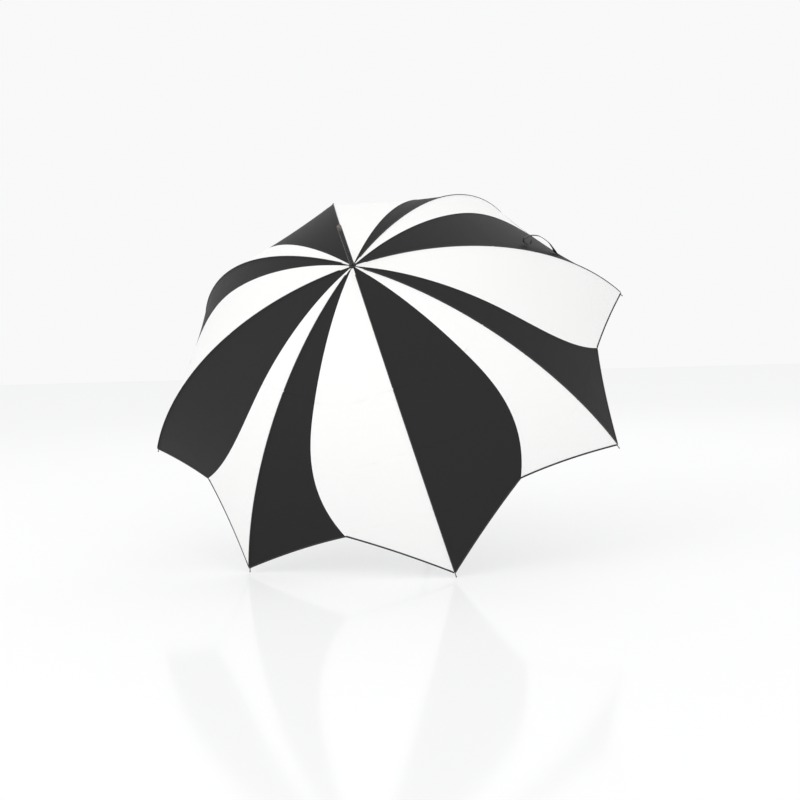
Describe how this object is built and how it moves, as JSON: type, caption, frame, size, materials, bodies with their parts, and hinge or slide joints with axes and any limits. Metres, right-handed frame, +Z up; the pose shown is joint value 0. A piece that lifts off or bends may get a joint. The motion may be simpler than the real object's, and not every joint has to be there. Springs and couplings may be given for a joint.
{
  "type": "stick umbrella",
  "caption": "Open stick umbrella lying on rib tips and its handle end, with a notched canopy of alternating black and white curved petals, slim ferrule, tie strap and straight handle.",
  "frame": {"origin": "middle of the umbrella's box on the floor that it lies on", "axes": "+Z up from the floor, ferrule pointing up and towards -Y, handle end on the floor at +Y, +X across the canopy"},
  "size_m": [0.8984, 0.7252, 0.6977],
  "materials": {
    "black_fabric": "woven, soft sheen",
    "white_fabric": "woven, soft sheen",
    "black_metal": "gloss",
    "steel": "satin",
    "ferrule_tip_metal": "satin",
    "black_plastic": "satin"
  },
  "bodies": {
    "shaft": {"shaft_tube": "steel", "ferrule_rod": "black_metal", "ferrule_tip": "ferrule_tip_metal", "crown_notch": "black_plastic", "crown_wire": "steel", "canopy_cap": "black_plastic", "handle": "black_plastic"},
    "runner": {"runner": "black_plastic", "runner_wire": "steel"},
    "upper_catch": {"upper_catch": "steel"},
    "lower_catch": {"lower_catch": "steel"},
    "rib_1": {"rib_inner_1": "black_metal"},
    "rib_end_1": {"rib_outer_1": "black_metal", "rib_tip_1": "steel", "black_petal_1": "black_fabric", "white_petal_1": "white_fabric"},
    "stretcher_1": {"stretcher_1": "black_metal"},
    "rib_2": {"rib_inner_2": "black_metal"},
    "rib_end_2": {"rib_outer_2": "black_metal", "rib_tip_2": "steel", "black_petal_2": "black_fabric", "white_petal_2": "white_fabric"},
    "stretcher_2": {"stretcher_2": "black_metal"},
    "rib_3": {"rib_inner_3": "black_metal"},
    "rib_end_3": {"rib_outer_3": "black_metal", "rib_tip_3": "steel", "black_petal_3": "black_fabric", "white_petal_3": "white_fabric", "tie_strap": "black_fabric"},
    "stretcher_3": {"stretcher_3": "black_metal"},
    "rib_4": {"rib_inner_4": "black_metal"},
    "rib_end_4": {"rib_outer_4": "black_metal", "rib_tip_4": "steel", "black_petal_4": "black_fabric", "white_petal_4": "white_fabric"},
    "stretcher_4": {"stretcher_4": "black_metal"},
    "rib_5": {"rib_inner_5": "black_metal"},
    "rib_end_5": {"rib_outer_5": "black_metal", "rib_tip_5": "steel", "black_petal_5": "black_fabric", "white_petal_5": "white_fabric"},
    "stretcher_5": {"stretcher_5": "black_metal"},
    "rib_6": {"rib_inner_6": "black_metal"},
    "rib_end_6": {"rib_outer_6": "black_metal", "rib_tip_6": "steel", "black_petal_6": "black_fabric", "white_petal_6": "white_fabric"},
    "stretcher_6": {"stretcher_6": "black_metal"},
    "rib_7": {"rib_inner_7": "black_metal"},
    "rib_end_7": {"rib_outer_7": "black_metal", "rib_tip_7": "steel", "black_petal_7": "black_fabric", "white_petal_7": "white_fabric"},
    "stretcher_7": {"stretcher_7": "black_metal"},
    "rib_8": {"rib_inner_8": "black_metal"},
    "rib_end_8": {"rib_outer_8": "black_metal", "rib_tip_8": "steel", "black_petal_8": "black_fabric", "white_petal_8": "white_fabric"},
    "stretcher_8": {"stretcher_8": "black_metal"}
  },
  "joints": [
    {"name": "canopy_fold", "type": "hinge", "parent": "shaft", "child": "rib_1", "pos_m": [0.00306, -0.24785, 0.52648], "axis": [0.9239, 0.252, 0.288], "range_deg": [0, 72.48], "deforming": ["black_petal_1", "white_petal_1", "black_petal_2", "white_petal_2", "black_petal_3", "white_petal_3", "black_petal_4", "white_petal_4", "black_petal_5", "white_petal_5", "black_petal_6", "white_petal_6", "black_petal_7", "white_petal_7", "black_petal_8", "white_petal_8", "tie_strap"]},
    {"name": "rib_2_fold", "type": "hinge", "parent": "shaft", "child": "rib_2", "pos_m": [0.00739, -0.245, 0.52974], "axis": [0.3827, 0.6084, 0.6953], "range_deg": [-0.5, 72.98]},
    {"name": "rib_3_fold", "type": "hinge", "parent": "shaft", "child": "rib_3", "pos_m": [0.00739, -0.24096, 0.53435], "axis": [-0.3827, 0.6084, 0.6953], "range_deg": [-0.5, 72.98]},
    {"name": "rib_4_fold", "type": "hinge", "parent": "shaft", "child": "rib_4", "pos_m": [0.00306, -0.23811, 0.53761], "axis": [-0.9239, 0.252, 0.288], "range_deg": [-0.5, 72.98]},
    {"name": "rib_5_fold", "type": "hinge", "parent": "shaft", "child": "rib_5", "pos_m": [-0.00306, -0.23811, 0.53761], "axis": [-0.9239, -0.252, -0.288], "range_deg": [-0.5, 72.98]},
    {"name": "rib_6_fold", "type": "hinge", "parent": "shaft", "child": "rib_6", "pos_m": [-0.00739, -0.24096, 0.53435], "axis": [-0.3827, -0.6084, -0.6953], "range_deg": [-0.5, 72.98]},
    {"name": "rib_7_fold", "type": "hinge", "parent": "shaft", "child": "rib_7", "pos_m": [-0.00739, -0.245, 0.52974], "axis": [0.3827, -0.6084, -0.6953], "range_deg": [-0.5, 72.98]},
    {"name": "rib_8_fold", "type": "hinge", "parent": "shaft", "child": "rib_8", "pos_m": [-0.00306, -0.24785, 0.52648], "axis": [0.9239, -0.252, -0.288], "range_deg": [-0.5, 72.98]},
    {"name": "stretcher_1_fold", "type": "hinge", "parent": "rib_1", "child": "stretcher_1", "pos_m": [0.08909, -0.34079, 0.33184], "axis": [0.9239, 0.252, 0.288], "range_deg": [-145.95, 1]},
    {"name": "rib_1_flex", "type": "hinge", "parent": "rib_1", "child": "rib_end_1", "pos_m": [0.09595, -0.3502, 0.31807], "axis": [0.9239, 0.252, 0.288], "range_deg": [-25.82, 0.5]},
    {"name": "stretcher_2_fold", "type": "hinge", "parent": "rib_2", "child": "stretcher_2", "pos_m": [0.21508, -0.25782, 0.42666], "axis": [0.3827, 0.6084, 0.6953], "range_deg": [-145.95, 1]},
    {"name": "rib_2_flex", "type": "hinge", "parent": "rib_2", "child": "rib_end_2", "pos_m": [0.23164, -0.26085, 0.42019], "axis": [0.3827, 0.6084, 0.6953], "range_deg": [-25.82, 0.5]},
    {"name": "stretcher_3_fold", "type": "hinge", "parent": "rib_3", "child": "stretcher_3", "pos_m": [0.21508, -0.1405, 0.56075], "axis": [-0.3827, 0.6084, 0.6953], "range_deg": [-145.95, 1]},
    {"name": "rib_3_flex", "type": "hinge", "parent": "rib_3", "child": "rib_end_3", "pos_m": [0.23164, -0.13448, 0.56461], "axis": [-0.3827, 0.6084, 0.6953], "range_deg": [-25.82, 0.5]},
    {"name": "stretcher_4_fold", "type": "hinge", "parent": "rib_4", "child": "stretcher_4", "pos_m": [0.08909, -0.05753, 0.65557], "axis": [-0.9239, 0.252, 0.288], "range_deg": [-145.95, 1]},
    {"name": "rib_4_flex", "type": "hinge", "parent": "rib_4", "child": "rib_end_4", "pos_m": [0.09595, -0.04513, 0.66673], "axis": [-0.9239, 0.252, 0.288], "range_deg": [-25.82, 0.5]},
    {"name": "stretcher_5_fold", "type": "hinge", "parent": "rib_5", "child": "stretcher_5", "pos_m": [-0.08909, -0.05753, 0.65557], "axis": [-0.9239, -0.252, -0.288], "range_deg": [-145.95, 1]},
    {"name": "rib_5_flex", "type": "hinge", "parent": "rib_5", "child": "rib_end_5", "pos_m": [-0.09595, -0.04513, 0.66673], "axis": [-0.9239, -0.252, -0.288], "range_deg": [-25.82, 0.5]},
    {"name": "stretcher_6_fold", "type": "hinge", "parent": "rib_6", "child": "stretcher_6", "pos_m": [-0.21508, -0.1405, 0.56075], "axis": [-0.3827, -0.6084, -0.6953], "range_deg": [-145.95, 1]},
    {"name": "rib_6_flex", "type": "hinge", "parent": "rib_6", "child": "rib_end_6", "pos_m": [-0.23164, -0.13448, 0.56461], "axis": [-0.3827, -0.6084, -0.6953], "range_deg": [-25.82, 0.5]},
    {"name": "stretcher_7_fold", "type": "hinge", "parent": "rib_7", "child": "stretcher_7", "pos_m": [-0.21508, -0.25782, 0.42666], "axis": [0.3827, -0.6084, -0.6953], "range_deg": [-145.95, 1]},
    {"name": "rib_7_flex", "type": "hinge", "parent": "rib_7", "child": "rib_end_7", "pos_m": [-0.23164, -0.26085, 0.42019], "axis": [0.3827, -0.6084, -0.6953], "range_deg": [-25.82, 0.5]},
    {"name": "stretcher_8_fold", "type": "hinge", "parent": "rib_8", "child": "stretcher_8", "pos_m": [-0.08909, -0.34079, 0.33184], "axis": [0.9239, -0.252, -0.288], "range_deg": [-145.95, 1]},
    {"name": "rib_8_flex", "type": "hinge", "parent": "rib_8", "child": "rib_end_8", "pos_m": [-0.09595, -0.3502, 0.31807], "axis": [0.9239, -0.252, -0.288], "range_deg": [-25.82, 0.5]},
    {"name": "runner_pivot", "type": "hinge", "parent": "stretcher_1", "child": "runner", "pos_m": [0.00306, -0.1602, 0.4498], "axis": [0.9239, 0.252, 0.288], "range_deg": [-0.5, 72.98]},
    {"name": "upper_catch_press", "type": "slide", "parent": "shaft", "child": "upper_catch", "axis": [0, -0.6585, -0.7526], "range_m": [0, 0.0019], "stiffness_N_per_m": 400, "springref_m": -0.001},
    {"name": "lower_catch_press", "type": "slide", "parent": "shaft", "child": "lower_catch", "axis": [0, -0.6585, -0.7526], "range_m": [0, 0.0019], "stiffness_N_per_m": 400, "springref_m": -0.001}
  ],
  "couplings": [
    {"joint": "rib_2_fold", "follows": "canopy_fold", "ratio": 1},
    {"joint": "rib_3_fold", "follows": "canopy_fold", "ratio": 1},
    {"joint": "rib_4_fold", "follows": "canopy_fold", "ratio": 1},
    {"joint": "rib_5_fold", "follows": "canopy_fold", "ratio": 1},
    {"joint": "rib_6_fold", "follows": "canopy_fold", "ratio": 1},
    {"joint": "rib_7_fold", "follows": "canopy_fold", "ratio": 1},
    {"joint": "rib_8_fold", "follows": "canopy_fold", "ratio": 1},
    {"joint": "stretcher_1_fold", "follows": "canopy_fold", "ratio": -2},
    {"joint": "rib_1_flex", "follows": "canopy_fold", "ratio": -0.34935},
    {"joint": "stretcher_2_fold", "follows": "canopy_fold", "ratio": -2},
    {"joint": "rib_2_flex", "follows": "canopy_fold", "ratio": -0.34935},
    {"joint": "stretcher_3_fold", "follows": "canopy_fold", "ratio": -2},
    {"joint": "rib_3_flex", "follows": "canopy_fold", "ratio": -0.34935},
    {"joint": "stretcher_4_fold", "follows": "canopy_fold", "ratio": -2},
    {"joint": "rib_4_flex", "follows": "canopy_fold", "ratio": -0.34935},
    {"joint": "stretcher_5_fold", "follows": "canopy_fold", "ratio": -2},
    {"joint": "rib_5_flex", "follows": "canopy_fold", "ratio": -0.34935},
    {"joint": "stretcher_6_fold", "follows": "canopy_fold", "ratio": -2},
    {"joint": "rib_6_flex", "follows": "canopy_fold", "ratio": -0.34935},
    {"joint": "stretcher_7_fold", "follows": "canopy_fold", "ratio": -2},
    {"joint": "rib_7_flex", "follows": "canopy_fold", "ratio": -0.34935},
    {"joint": "stretcher_8_fold", "follows": "canopy_fold", "ratio": -2},
    {"joint": "rib_8_flex", "follows": "canopy_fold", "ratio": -0.34935},
    {"joint": "runner_pivot", "follows": "canopy_fold", "ratio": 1}
  ]
}
